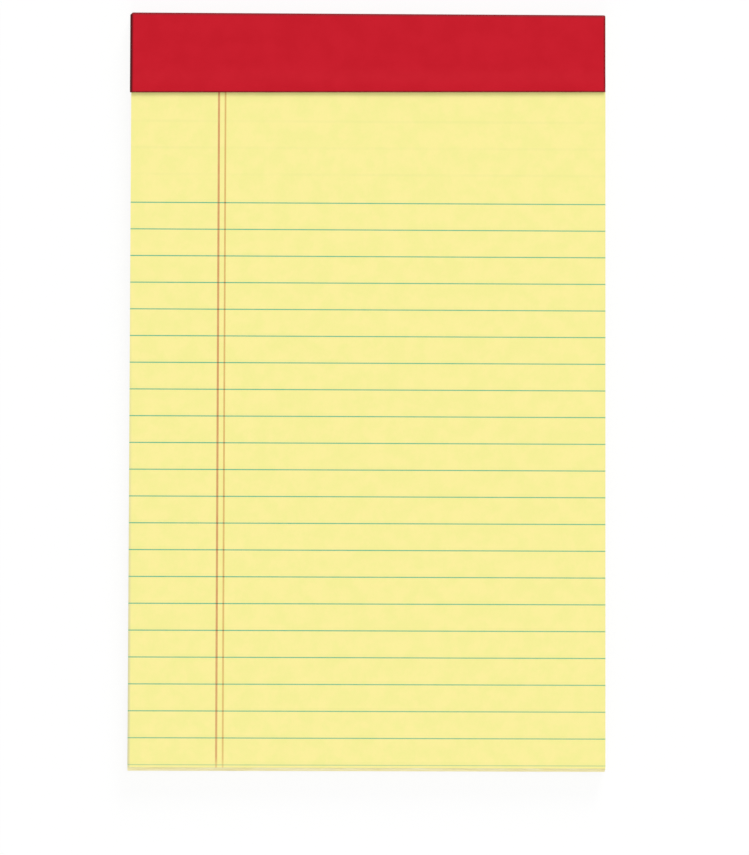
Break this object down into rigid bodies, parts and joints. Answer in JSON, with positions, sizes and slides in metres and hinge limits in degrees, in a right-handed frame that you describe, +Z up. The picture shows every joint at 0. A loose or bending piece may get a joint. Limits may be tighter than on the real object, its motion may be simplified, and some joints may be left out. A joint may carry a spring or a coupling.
{
  "type": "legal pad",
  "caption": "Junior legal pad: canary sheets with fine blue-green rules and a red margin, chipboard back, red tape over a wire-stitched head.",
  "frame": {"origin": "middle of the pad's outline, on the plane that the pad lies on", "axes": "+Z up through the sheets, from the chipboard back to the top sheet; +Y along the pad towards its bound head; +X across it to the right"},
  "size_m": [0.127, 0.2026, 0.0055],
  "materials": {
    "canary_paper": "uncoated bond, matte",
    "rule_ink": "thin offset ink on the paper, matte",
    "margin_ink": "thin offset ink on the paper, matte",
    "chipboard": "uncoated grey-brown chipboard, matte",
    "red_tape": "coated binding paper, satin",
    "stitch_wire": "galvanised wire, satin"
  },
  "bodies": {
    "root": {"sheet_block": "canary_paper", "backing_board": "chipboard", "binding_tape": "red_tape", "staple_left": "stitch_wire", "staple_right": "stitch_wire"}
  },
  "joints": []
}
